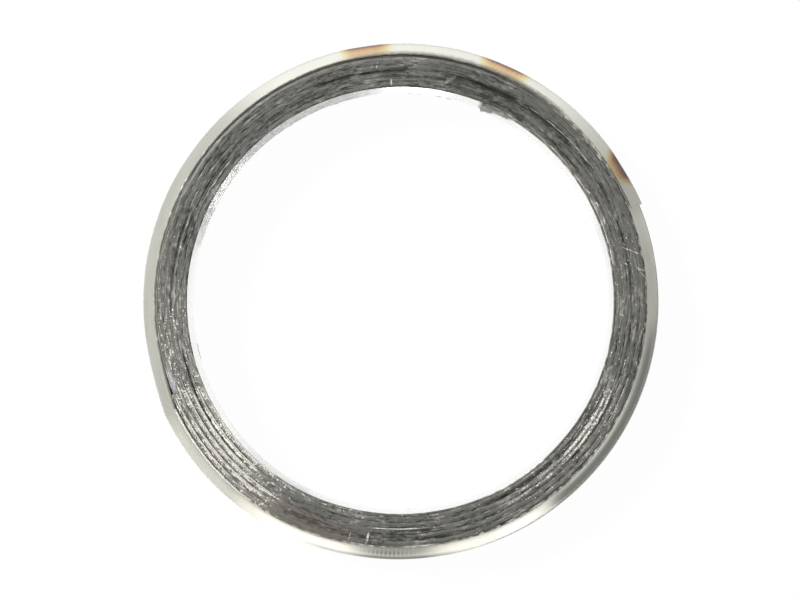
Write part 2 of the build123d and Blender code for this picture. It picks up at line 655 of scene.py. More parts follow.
@dataclass(frozen=True)
class StainlessFinish:
    """Thin rolled stainless strip: satin along its length, with heat tints at the welds."""

    clean: Colour = (0.347, 0.347, 0.316)
    dull: Colour = (0.314, 0.314, 0.285)
    # Colours of the painted light and painted shade on the outer flank
    bright: Colour = (0.95, 0.945, 0.9)
    dark: Colour = (0.125, 0.125, 0.115)
    # Straw tint, also the colour of the painted highlights
    straw_and_highlight: Colour = (0.98, 0.92, 0.81)
    sheared: Colour = (0.62, 0.595, 0.545)
    bore: Colour = (0.99, 0.99, 0.985)
    # Colour of graphite dust and of painted shade
    dust_and_shade: Colour = (0.105, 0.101, 0.087)
    # Colour of the painted shade in the open gap
    gap_shade_colour: Colour = (0.03, 0.025, 0.017)
    streaks: Grain = Grain((0.12, 14.0, 1.0), 3.0)
    clouds: Grain = Grain((0.22, 0.6, 1.7))
    patches: Grain = Grain((1.6, 3.0, 2.0), 4.0)
    hatch: Grain = Grain((5.0, 0.7, 1.0))
    flecks: Grain = Grain((3.4, 5.0, 3.0))
    streak_share: float = 0.5
    dull_range: Range = (0.4, 0.62)
    dark_streaks: Range = (0.6, 1.4)
    straw_patches: Range = (0.7, 1.3)
    torn_range: Range = (0.3, 0.5)
    tint_hatch: Range = (0.72, 1.28)
    dust_and_shade_patches: Range = (-0.25, 0.25)
    dust_and_shade_range: Range = (0.15, 0.85)
    gap_shade_range: Range = (1.0, 1.6)
    sheared_matt: float = 0.45
    roughness_range: Range = (0.1, 0.24)
    matt_roughness: float = 0.4
    sheared_roughness: float = 0.2
    bore_patches: Range = (1.0, 0.6)
    bore_roughness: Range = (1.0, 0.42)
    bore_bump: Range = (0.12, 0.01)
    bump_depth: float = 0.00002
    tints: tuple[tuple[float, Colour], ...] = (
        (0.0, (1.0, 1.0, 1.0)),
        (0.08, (0.94, 0.88, 0.61)),
        (0.20, (0.87, 0.67, 0.38)),
        (0.40, (0.69, 0.41, 0.24)),
        (0.58, (0.42, 0.21, 0.15)),
        (0.74, (0.22, 0.09, 0.08)),
        (0.92, (0.09, 0.05, 0.08)),
    )

    def material(self) -> bpy.types.Material:
        """Streaks along the strip, soft clouds, painted light and shade, stains and heat tints, and graphite
        dust on the edges.

        Returns:
            The material.
        """
        shader = Shader(bpy.data.materials.new("stainless_strip"))
        place = shader.attribute(ATTRIBUTE_PLACE, "Vector")
        # Painted light, painted shade, and straw with painted highlights, on the outer flank
        painted_light, painted_shade, straw_and_highlight = shader.parts(shader.attribute(ATTRIBUTE_PAINTED_LIGHT_AND_STRAW, "Vector"))
        dusty_and_shaded, tint, bore_side = shader.parts(shader.attribute(ATTRIBUTE_STAIN_AND_SHADE, "Vector"))
        sheared = shader.attribute(ATTRIBUTE_WEAR, "Fac")
        streaks, patches = shader.noise(place, self.streaks), shader.noise(place, self.patches)
        clouds, flecks = shader.noise(place, self.clouds), shader.noise(place, self.flecks)
        hatched = shader.between(shader.noise(place, self.hatch), *self.tint_hatch)

        rolled = shader.plus(shader.times(streaks, self.streak_share), (clouds, 1 - self.streak_share))
        colour = shader.mix(shader.spread(rolled, *self.dull_range), self.clean, self.dull)
        # Painted light and painted shade on the outer flank, standing in for what it mirrors
        colour = shader.mix(painted_light, colour, self.bright)
        painted_shade = shader.times(painted_shade, shader.between(streaks, *self.dark_streaks))
        colour = shader.mix(painted_shade, colour, self.dark)
        straw_and_highlight = shader.times(straw_and_highlight, shader.between(patches, *self.straw_patches))
        # Straw tint, partly a painted highlight
        colour = shader.mix(straw_and_highlight, colour, self.straw_and_highlight)
        colour = shader.mix(bore_side, colour, self.bore)
        torn = shader.mix(shader.spread(flecks, *self.torn_range), self.dust_and_shade, self.sheared)
        colour = shader.mix(sheared, colour, torn)
        heated = shader.ramp(shader.times(tint, hatched), self.tints)
        colour = shader.mix(1.0, colour, heated, "MULTIPLY")
        uneven = (shader.between(patches, *self.dust_and_shade_patches), shader.between(bore_side, *self.bore_patches))
        # Graphite dust, with painted shade on the rims, the bore wall and the open gap
        dusted_and_shaded = shader.spread(shader.plus(dusty_and_shaded, uneven), *self.dust_and_shade_range)
        colour = shader.mix(dusted_and_shaded, colour, self.dust_and_shade)
        # The open gap's painted shade is darkest
        colour = shader.mix(shader.spread(dusty_and_shaded, *self.gap_shade_range), colour, self.gap_shade_colour)

        matt = shader.maths("MAXIMUM", dusted_and_shaded, shader.times(sheared, self.sheared_matt))
        roughness = shader.between(rolled, *self.roughness_range)
        roughness = shader.plus(roughness, (matt, self.matt_roughness), (sheared, self.sheared_roughness))
        surface = {
            "Base Color": colour,
            "Metallic": shader.maths("SUBTRACT", 1.0, matt),
            "Roughness": shader.times(roughness, shader.between(bore_side, *self.bore_roughness)),
            "Normal": shader.bump(streaks, shader.between(bore_side, *self.bore_bump), self.bump_depth),
        }
        return shader.finish(shader.node("BsdfPrincipled", surface))


@dataclass(frozen=True)
class GraphiteFinish:
    """Flexible graphite pressed between the turns: matt dark grey with silvery flakes and scores."""

    body: Colour = (0.103, 0.102, 0.093)
    dark: Colour = (0.029, 0.03, 0.026)
    pale: Colour = (0.222, 0.217, 0.2)
    flake: Colour = (0.62, 0.605, 0.57)
    violet: Colour = (0.36, 0.35, 0.42)
    rust: Colour = (0.22, 0.16, 0.12)
    clouds: Grain = Grain((300.0, 300.0, 300.0))
    streaks: Grain = Grain((0.5, 5.0, 3.1), 3.0, 0.4)
    flecks: Grain = Grain((1.2, 3.6, 7.7))
    grains: Grain = Grain((2600.0, 2600.0, 2600.0))
    specks: Grain = Grain((4200.0, 4200.0, 4200.0), 1.0)
    plain: Grain = Grain((450.0, 450.0, 450.0), 1.0)
    shade_shares: tuple[float, ...] = (0.2, 0.35, 0.3, 0.15)
    shade_middle: float = 0.49
    plain_range: Range = (0.4, 0.6)
    contrast: Range = (0.5, 1.1)
    # Shifts of tone: painted shade in grooves and seams, and painted light on the face
    sunk_shade: float = -0.14
    seam_shade: float = -0.12
    painted_face_light_weight: float = 0.08
    body_range: Range = (0.39, 0.49)
    pale_range: Range = (0.5, 0.61)
    rust_breaks: Range = (0.3, 1.0)
    violet_breaks: Range = (0.6, 1.0)
    smear_breaks: Range = (0.3, 0.7)
    scratch_breaks: Range = (0.3, 0.55)
    flake_shares: tuple[float, ...] = (0.6, 0.4, 0.1)
    flake_range: Range = (0.64, 0.72)
    roughness_range: Range = (0.6, 0.36)
    metallic: float = 0.2
    shine_range: Range = (0.45, 0.03)
    grain_bump: float = 0.6
    fleck_bump: float = 0.5
    bump_strength: float = 0.7
    bump_depth: float = 0.00006
    scratches: tuple[Mark, ...] = (
        Mark(262.0, 30.38, -5.0, 0.95, 0.15, 0.9),
        Mark(257.7, 30.65, -4.0, 0.65, 0.05, 0.7),
        Mark(12.2, 30.0, -33.0, 1.65, 0.055, 0.8),
        Mark(6.6, 30.73, -59.0, 1.1, 0.05, 0.7),
        Mark(7.4, 30.73, -33.0, 0.7, 0.05, 0.8),
        Mark(9.5, 28.85, -40.0, 0.45, 0.08, 0.8),
        Mark(92.5, 27.95, 0.0, 0.45, 0.12, 0.6),
        Mark(166.3, 28.95, -40.0, 0.55, 0.07, 0.5),
        Mark(95.8, 30.2, -20.0, 0.5, 0.07, 0.6),
        Mark(21.5, 27.8, 80.0, 0.5, 0.12, 0.8),
        Mark(26.3, 27.82, 95.0, 0.45, 0.12, 0.9),
        Mark(30.2, 27.6, 100.0, 0.4, 0.1, 0.7),
    )
    smears: tuple[Mark, ...] = (
        Mark(77.6, 28.83, -45.0, 1.4, 0.24, 0.8),
        Mark(313.7, 29.1, -3.0, 1.9, 0.36, 0.6),
        Mark(47.6, 28.65, -30.0, 0.8, 0.4, 0.6),
        Mark(262.5, 28.9, 0.0, 0.8, 0.3, 0.4),
    )
    violets: tuple[Mark, ...] = (Mark(199.4, 31.05, 90.0, 1.7, 0.45, 0.9),)
    rusts: tuple[Mark, ...] = (
        Mark(167.5, 31.0, 70.0, 0.5, 0.2, 0.6),
        Mark(108.5, 31.0, 90.0, 0.9, 0.25, 0.5),
        Mark(289.0, 30.7, 0.0, 0.5, 0.2, 0.4),
        Mark(246.0, 30.6, 90.0, 9.0, 1.6, 0.2),
    )

    def material(self) -> bpy.types.Material:
        """Clouds, streaks along the turns, dark pits and bright flakes, painted light and painted shade, with
        bump from the same patterns.

        Returns:
            The material.
        """
        shader = Shader(bpy.data.materials.new("graphite"))
        place, around = shader.attribute(ATTRIBUTE_PLACE, "Vector"), shader.object_place()
        sunk, painted_face_light, seam = shader.parts(shader.attribute(ATTRIBUTE_WEAR, "Vector"))
        streaks, flecks = shader.noise(place, self.streaks), shader.noise(place, self.flecks)
        clouds, grains = shader.noise(around, self.clouds), shader.noise(around, self.grains)
        specks, plain = shader.noise(around, self.specks), shader.noise(around, self.plain)

        shade = self.shares(shader, (clouds, streaks, flecks, grains), self.shade_shares)
        depth = shader.between(shader.spread(plain, *self.plain_range), *self.contrast)
        off_middle = shader.maths("SUBTRACT", shade, self.shade_middle)
        shade = shader.plus(self.shade_middle, (off_middle, depth))
        # Painted shade in the grooves, seams and gaps, and painted light on the face
        darkened = ((sunk, self.sunk_shade), (seam, self.seam_shade), (painted_face_light, self.painted_face_light_weight))
        shade = shader.plus(shade, *darkened)
        colour = shader.mix(shader.spread(shade, *self.body_range), self.dark, self.body)
        colour = shader.mix(shader.spread(shade, *self.pale_range), colour, self.pale)
        for marks, paint, breaks in (
            (self.rusts, self.rust, shader.between(flecks, *self.rust_breaks)),
            (self.violets, self.violet, shader.between(flecks, *self.violet_breaks)),
            (self.smears, self.pale, shader.spread(grains, *self.smear_breaks)),
            (self.scratches, self.flake, shader.spread(grains, *self.scratch_breaks)),
        ):
            for mark in marks:
                colour = shader.mix(shader.times(shader.ellipse(around, mark), breaks), colour, paint)
        # Bright flakes, more of them where the face has painted light
        bright = self.shares(shader, (specks, flecks, painted_face_light), self.flake_shares)
        colour = shader.mix(shader.spread(bright, *self.flake_range), colour, self.flake)

        height = shader.plus(streaks, (grains, self.grain_bump), (flecks, self.fleck_bump))
        deep = shader.maths("ADD", sunk, seam, clamp=True)
        surface = {
            "Base Color": colour,
            "Metallic": self.metallic,
            "Roughness": shader.between(streaks, *self.roughness_range),
            "Normal": shader.bump(height, self.bump_strength, self.bump_depth),
            "Specular IOR Level": shader.between(deep, *self.shine_range),
        }
        return shader.finish(shader.node("BsdfPrincipled", surface))

    def shares(self, shader: Shader, patterns: tuple[Socket, ...], shares: tuple[float, ...]) -> Socket:
        """Patterns added up, each by its share."""
        first, *rest = zip(patterns, shares)
        return shader.plus(shader.times(*first), *rest)


@dataclass(frozen=True)
class FloorFinish:
    """Matt white table, which looks white in the picture and keeps the shadow, with a disc under the bore
    that glows white in reflections only: a painted reflection on the bore wall.
    """

    white: Colour = (0.88, 0.88, 0.87)
    roughness: float = 0.9
    seen_share: float = 0.97
    # radius of the disc that glows only in reflections, a painted reflection on the bore wall
    bright_radius: float = 0.0288

    def material(self) -> bpy.types.Material:
        """A mix of matt white and plain white light, by the kind of ray that meets it and, for reflections,
        by whether it lies within the glowing disc.

        Returns:
            The material.
        """
        shader = Shader(bpy.data.materials.new("table_white"))
        matt = shader.node("BsdfPrincipled", {"Base Color": self.white, "Roughness": self.roughness})
        glow = shader.node("Emission", {})
        glossy, through = shader.ray("Is Glossy Ray"), shader.ray("Is Transmission Ray")
        mirrored = shader.maths("ADD", glossy, through, clamp=True)
        # The disc under the bore glows for reflections only: a painted reflection
        within = shader.maths("LESS_THAN", shader.length(shader.object_place()), self.bright_radius)
        seen = shader.times(shader.ray("Is Camera Ray"), self.seen_share)
        share = shader.maths("ADD", seen, shader.times(mirrored, within), clamp=True)
        return shader.finish(shader.node("MixShader", {0: share, 1: matt, 2: glow}))


# The two strips


@dataclass(frozen=True)
class Cover:
    """How much graphite lies over the steel edges of the upper and the lower face."""

    winding: Winding
    speck_arc: float = 0.85  # of one bare speck
    patch_arc: float = 7.0  # of a patch of them
    speck_share: float = 0.7
    bare_share: float = 0.15
    bare_edges: tuple[Stretch, ...] = (
        Stretch(221.0, 24.0, amount=0.25),
        Stretch(325.5, 14.0, 28.9, 0.6, 0.2),
        Stretch(271.0, 10.0, 29.2, 0.6, 0.45),
        Stretch(35.0, 34.0, 27.5, 0.45, 0.35),
        Stretch(47.0, 18.0, 29.65, 0.4, 0.4),
        Stretch(302.0, 12.0, 27.1, 0.2, 0.5),
        Stretch(322.0, 75.0, 31.27, 0.35, 0.3),
        Stretch(42.0, 10.0, 31.4, 0.5, 0.25),
        Stretch(290.0, 50.0, 30.3, 3.5, 0.15),
    )
    ridges: tuple[Stretch, ...] = (
        Stretch(218.5, 17.0, 31.9, 0.4, 1.0),
        Stretch(217.0, 11.0, 31.15, 0.4, 0.9),
        Stretch(223.0, 15.0, 30.4, 0.4, 0.9),
        Stretch(221.5, 19.0, 29.65, 0.4, 1.0),
        Stretch(216.0, 13.0, 28.9, 0.4, 1.0),
        Stretch(220.0, 12.0, 28.16, 0.4, 0.8),
        Stretch(222.0, 14.0, 27.41, 0.4, 0.9),
        Stretch(197.0, 8.0, 30.3, 0.5, 0.4),
    )
    ridge_share: float = 0.6

    def bare(self, turned: np.ndarray, seed: int) -> np.ndarray:
        """Share of a steel edge that is bare: patches of short specks.

        Args:
            turned: the steel's own angle.
            seed: picks the pattern.

        Returns:
            One share for each angle.
        """
        specks = smooth_noise(turned / self.speck_arc, seed)
        patches = smooth_noise(turned / self.patch_arc, seed + 1)
        middle = self.winding.side(turned, self.winding.steel_step / 2)
        bearing = self.winding.bearing(turned)
        level = self.bare_share * patches + together(self.bare_edges, bearing, middle)
        level = level + self.ridge_share * together(self.ridges, bearing, middle)
        return np.clip(level + self.speck_share * (specks - 0.5), 0.0, 1.0)


@dataclass(frozen=True)
class SpotWeld:
    """What a spot weld leaves on the nose: a dent and a heat tint, darkest on the nose."""

    half_arc: float
    dent: float
    level: float  # tint of the whole patch
    core: float  # tint that the core adds
    core_height: float  # reach of the core above and below the nose
    bowl: float  # how much sooner the patch ends away from the nose


@dataclass(frozen=True)
class Wear:
    """What winding, welding and handling have done to the steel strip, and the light and shade painted on its
    outer flank, bore wall and open gap.
    """

    ripple: Mottle = Mottle(9.0, base=-1.0, swing=2.0, seed=3)
    ripple_depth: float = 0.012
    edge_wear: float = 0.04
    edge_wear_arc: float = 0.9
    edge_rows: float = 3.0  # of wear across half the strip's width
    edge_seed: int = 11
    welds: tuple[SpotWeld, ...] = (
        SpotWeld(half_arc=5.4, dent=0.05, level=0.16, core=0.76, core_height=1.35, bowl=0.3),
        SpotWeld(half_arc=6.8, dent=0.03, level=0.24, core=0.7, core_height=0.74, bowl=0.12),
        SpotWeld(half_arc=6.5, dent=0.04, level=0.26, core=0.6, core_height=0.78, bowl=0.1),
    )
    dent_height: float = 0.55  # reach of a weld's dent above and below the nose
    core_end: float = 0.12  # least depth of a core, as the square of its share
    tint_full: float = 0.45  # where a weld's patch starts to fade, in half arcs
    tint_ease: float = 0.62  # and over how many
    gap_bearing: float = 80.0
    gap_half_arc: float = 58.0
    gap: float = 0.09  # open between the last turn's upper edge and the turn below
    # Painted shade on both sides of the open gap
    gap_shade: Stretch = Stretch(104.0, 52.0, amount=0.7)
    gap_shade_height: float = 1.9  # from which painted shade lies beside the gap
    closing: float = 0.9  # share of the wrap clearance that is pressed shut elsewhere
    end_lift: float = 0.1  # of the inner end, into the bore
    end_lift_arc: float = 6.0
    outer_lift: float = 0.06  # of the outer end, off the turn below
    crimp_bearing: float = 268.0
    crimp_half_arc: float = 8.0
    crimp_pitch: float = 0.9
    crimp: float = 0.018  # depth of the waves
    crimp_growth: float = 2.0  # how fast they grow towards the upper edge
    crimp_crest_shade: float = 0.9  # how dark the painted shade on their crests is
    crimp_height: float = 1.35
    crimp_width: float = 0.5
    # Painted light on the outer flank: lighter bands where it mirrors the lit table, and bright highlights
    painted_light: tuple[Stretch, ...] = (
        Stretch(87.0, 49.0, amount=0.4),
        Stretch(249.0, 17.0, 0.5, 1.7, 0.3),
        Stretch(249.0, 12.0, 0.5, 1.5, 0.45),
        Stretch(292.5, 18.0, 0.7, 1.6, 0.33),
        Stretch(292.0, 11.0, 0.7, 1.4, 0.33),
        Stretch(301.0, 7.0, 0.9, 1.1, 0.25),
        Stretch(300.0, 9.0, 0.8, 1.7, 0.26),
        Stretch(270.0, 17.0, 0.95, 0.5, 0.12),
        Stretch(325.0, 16.0, 2.0, 0.4, 0.25),
        Stretch(328.0, 52.0, -0.1, 0.55, 1.1),
    )
    # Painted shade on the outer flank: darker bands where it mirrors the part's own shadow on the table, and
    # a dark line along the nose
    painted_shade: tuple[Stretch, ...] = (
        Stretch(2.0, 15.0, amount=0.15),
        Stretch(88.0, 46.0, 0.2, 0.36, 0.36),
        Stretch(25.0, 6.0, amount=0.25),
        Stretch(329.0, 27.0, 1.2, 0.8, 1.0),
        Stretch(268.0, 12.0, 1.9, 0.9, 0.32),
        Stretch(267.0, 19.0, 0.35, 0.45, 0.85),
    )
    # Straw heat tint, partly a painted highlight: a cream glow on the outer flank
    straw_and_highlight: tuple[Stretch, ...] = (
        Stretch(247.0, 17.0, 0.6, 2.4, 0.35),
        Stretch(249.0, 13.0, 1.6, 0.6, 0.3),
        Stretch(291.0, 15.0, 0.8, 2.2, 0.4),
        Stretch(222.0, 16.0, 0.5, 2.0, 0.2),
    )
    # Graphite dust along the outer side's rims, partly painted shade where the flank meets the graphite
    dusty_and_shaded: tuple[Stretch, ...] = (
        Stretch(76.0, 34.0, 2.5, 1.0, 0.6),
        Stretch(255.0, 130.0, 2.5, 0.7, 0.35),
    )
    # Painted shade on the bore wall, where it mirrors the part's own shadow
    bore_shade: tuple[Stretch, ...] = (
        Stretch(131.0, 42.0, amount=0.42),
    )
    # The bore wall darker towards the inner end, below a sloping line
    end_darkening: float = 0.62
    end_darkening_arc: float = 20.0
    end_darkening_slope: float = 0.067  # millimetres that the line climbs for each degree
    end_darkening_ease: float = 0.12


@dataclass(frozen=True, eq=False)
class Section:
    """The closed loop of one section of the steel: each point's offset and height, and where it lies."""

    offsets: np.ndarray
    heights: np.ndarray
    on_edge: np.ndarray
    outer: np.ndarray


@dataclass(frozen=True)
class SteelStrip:
    """The stainless strip, wound in seven turns and a bit."""

    winding: Winding
    cover: Cover
    wear: Wear = Wear()
    shoulder: float = 0.075  # width of the rounding of a sheared edge
    shoulder_drop: float = 0.035
    flank_heights: tuple[float, ...] = (0.0, 0.1, 0.25, 0.5, 0.9, 1.35, 1.75, 2.1)  # of the points on a flank
    inner_step: float = 1.2  # between sections of the innermost turn
    hidden_step: float = 1.6  # of the turns under others
    outer_step: float = 0.45  # of the outermost turn
    streak_offset: float = 10.0  # so that the two sides' streaks differ
    sharp_angle: float = 65.0

    @cached_property
    def turned(self) -> np.ndarray:
        """Angles of the section loops, closer together where the turn can be seen.

        Returns:
            The angles, in one column.
        """
        end = self.winding.strip_end
        outer = end - FULL_TURN - self.winding.climb_arc
        angles = (
            np.arange(0.0, FULL_TURN, self.inner_step),
            np.arange(FULL_TURN, outer, self.hidden_step),
            np.linspace(outer, end, int((end - outer) / self.outer_step)),
        )
        return np.concatenate(angles)[:, None]

    @cached_property
    def section(self) -> Section:
        """The loop up the inner side, over the crowned upper edge, down and back under the lower edge.

        Returns:
            The section.
        """
        edge, step = self.winding.half_width, self.winding.steel_step
        flank = np.array((*self.flank_heights, edge - 3 * self.shoulder_drop, edge - self.shoulder_drop))
        rising = np.concatenate((-flank[::-1], flank[1:]))
        crown = (self.shoulder, step - self.shoulder)
        offsets = np.concatenate((np.zeros(len(rising)), crown, np.full(len(rising), step), crown[::-1]))
        heights = np.concatenate((rising, (edge, edge), rising[::-1], (-edge, -edge)))
        on_edge = np.abs(heights) > edge - 2 * self.shoulder_drop
        return Section(offsets, heights, on_edge, outer=offsets > step / 2)

    @cached_property
    def upward(self) -> np.ndarray:
        """Height of the loop's points, from -1 at the lower edge to 1 at the upper one."""
        return self.section.heights / self.winding.half_width

    @cached_property
    def bearing(self) -> np.ndarray:
        """Bearing of each section."""
        return self.winding.bearing(self.turned)

    @cached_property
    def heights(self) -> np.ndarray:
        """Heights of all points, with the sheared edges worn unevenly.

        Returns:
            A row for each section.
        """
        wear, section = self.wear, self.section
        rows = self.upward * wear.edge_rows
        worn = wear.edge_wear * smooth_noise(self.turned / wear.edge_wear_arc, wear.edge_seed, rows)
        return section.heights - worn * section.on_edge * np.sign(section.heights)

    @cached_property
    def last_turn(self) -> np.ndarray:
        """Which sections belong to the outermost turn."""
        return self.turned > self.winding.strip_end - FULL_TURN

    @cached_property
    def in_bore(self) -> np.ndarray:
        """Which points lie on the bore's wall, with its lower edge."""
        section = self.section
        return (self.turned < FULL_TURN) & ~section.outer & (~section.on_edge | (section.heights < 0))

    @cached_property
    def crimped(self) -> np.ndarray:
        """Fine waves across the outermost turn where a tool gripped it.

        Returns:
            A cosine along the strip, easing out to both sides.
        """
        wear = self.wear
        away = np.abs(bearing_gap(self.bearing, wear.crimp_bearing)) / wear.crimp_half_arc
        wave = np.cos((self.winding.strip_end - self.turned) / wear.crimp_pitch * 2 * np.pi)
        return wave * fade(away) * self.last_turn

    def build(self) -> bpy.types.Object:
        """The strip as one closed shell, with what its finish reads stored on it.

        Returns:
            The piece.
        """
        winding, section, turned = self.winding, self.section, self.turned
        points = winding.place(turned, section.offsets + self.shift(), self.heights)
        piece = loft("steel_strip", points, self.sharp_angle)
        along = np.radians(turned) * winding.bore_radius
        place = vectors(along, self.heights + self.streak_offset * section.offsets, turned / FULL_TURN)
        write_vectors(piece, ATTRIBUTE_PLACE, place)
        write_vectors(piece, ATTRIBUTE_PAINTED_LIGHT_AND_STRAW, self.painted_light_and_straw())
        write_vectors(piece, ATTRIBUTE_STAIN_AND_SHADE, self.stains_and_shade())
        write_numbers(piece, ATTRIBUTE_WEAR, section.on_edge & ~self.in_bore)
        return piece

    def shift(self) -> np.ndarray:
        """How far the strip stands out from its path.

        It is the sum of a ripple, a dent on the nose at each weld, the last turn's gap
        or its closing on the turn below, the crimps, and the lift of both ends.

        Returns:
            A row of distances for each section.
        """
        winding, wear, turned = self.winding, self.wear, self.turned
        upward, outer, bearing = self.upward, self.section.outer, self.bearing % FULL_TURN
        shift = wear.ripple_depth * wear.ripple.over(bearing, 0) * np.ones_like(upward)
        nose = np.exp(-((self.section.heights / wear.dent_height) ** 2)) * outer
        for angle, weld in zip(winding.outer_welds(), wear.welds):
            shift = shift - weld.dent * fade(np.abs(turned - angle) / weld.half_arc) * nose
        away = np.abs(bearing_gap(bearing, wear.gap_bearing)) / wear.gap_half_arc
        closing = wear.closing * winding.wrap_clearance
        shift = shift + wear.gap * fade(away) * self.last_turn * np.clip(upward, 0, 1) ** 2
        shift = shift - closing * smooth_step(away) * self.last_turn * upward**2
        shift = shift + wear.crimp * (self.crimped * outer * np.clip(upward * wear.crimp_growth, 0, 1))
        shift = shift - wear.end_lift * fade(turned / wear.end_lift_arc)
        return shift + wear.outer_lift * fade((winding.strip_end - turned) / wear.end_lift_arc)

    def painted_light_and_straw(self) -> np.ndarray:
        """Painted light, painted shade and straw bands on the outer side.

        The crests of the crimps get painted shade too.

        Returns:
            The three amounts at each point.
        """
        wear, heights, flank = self.wear, self.heights, self.section.outer & ~self.section.on_edge
        bands = (wear.painted_light, wear.painted_shade, wear.straw_and_highlight)
        painted_light, painted_shade, straw_and_highlight = (together(band, self.bearing, heights) * flank for band in bands)
        ticks = wear.crimp_crest_shade * np.clip(self.crimped, 0, 1)
        ticks = ticks * np.exp(-(((heights - wear.crimp_height) / wear.crimp_width) ** 2))
        return vectors(painted_light, painted_shade + ticks * flank, straw_and_highlight)

    def stains_and_shade(self) -> np.ndarray:
        """Graphite dust and painted shade, heat tint and the bore's side.

        Dust lies on the edges where graphite covers them, and along the outer side's
        rims, where it is partly painted shade. In the bore the inner end is darker down to a sloping line,
        and one stretch of the wall gets painted shade. Both sides of the open gap get painted shade, darkest
        of all.

        Returns:
            The three amounts at each point.
        """
        winding, wear, cover, section = self.winding, self.wear, self.cover, self.section
        turned, bearing, heights = self.turned, self.bearing, self.heights
        bare = np.where(heights > 0, cover.bare(turned, UPPER_SEED), cover.bare(turned, LOWER_SEED))
        rims = together(wear.dusty_and_shaded, bearing, np.abs(heights)) * (section.outer & ~section.on_edge)
        dust_and_shade = np.maximum((1 - bare) * section.on_edge, rims)
        above = heights + winding.half_width - wear.end_darkening_slope * turned
        at_end = wear.end_darkening * smooth_step(above / wear.end_darkening_ease) * (turned < wear.end_darkening_arc)
        # Painted shade on the bore wall, and the inner end darker
        bore_darkening = np.maximum(at_end, together(wear.bore_shade, bearing, heights))
        dust_and_shade = np.where(self.in_bore, bore_darkening, dust_and_shade)
        turn_below = ~self.last_turn & (turned > winding.strip_end - 2 * FULL_TURN)
        beside_gap = (self.last_turn & ~section.outer) | (turn_below & section.outer)
        # Painted shade on both sides of the open gap
        dust_and_shade = dust_and_shade + wear.gap_shade.share(bearing, 0.0) * (beside_gap & (heights > wear.gap_shade_height))
        return vectors(dust_and_shade, self.tint() * section.outer, self.in_bore * 1.0)

    def tint(self) -> np.ndarray:
        """Heat tint: a patch round each weld, with a darker core on the nose.

        The patch is 1 near the weld and eases to 0 near its half arc, sooner away from
        the nose on a bowl-shaped one. The core falls off as the square of the height,
        over a depth that shrinks towards its ends as a circle's segment does.

        Returns:
            The tint at each point.
        """
        wear, heights = self.wear, self.heights
        tint = np.zeros(heights.shape)
        for angle, weld in zip(self.winding.outer_welds(), wear.welds):
            away = np.abs(self.turned - angle) / weld.half_arc
            depth = weld.core_height * np.sqrt(np.clip(1 - away**2, wear.core_end, 1.0))
            core = weld.core * np.exp(-((heights / depth) ** 2))
            away = away + weld.bowl * np.abs(heights) / self.winding.half_width
            patch = fade((away - wear.tint_full) / wear.tint_ease)
            tint = np.maximum(tint, patch * (weld.level + core))
        return tint


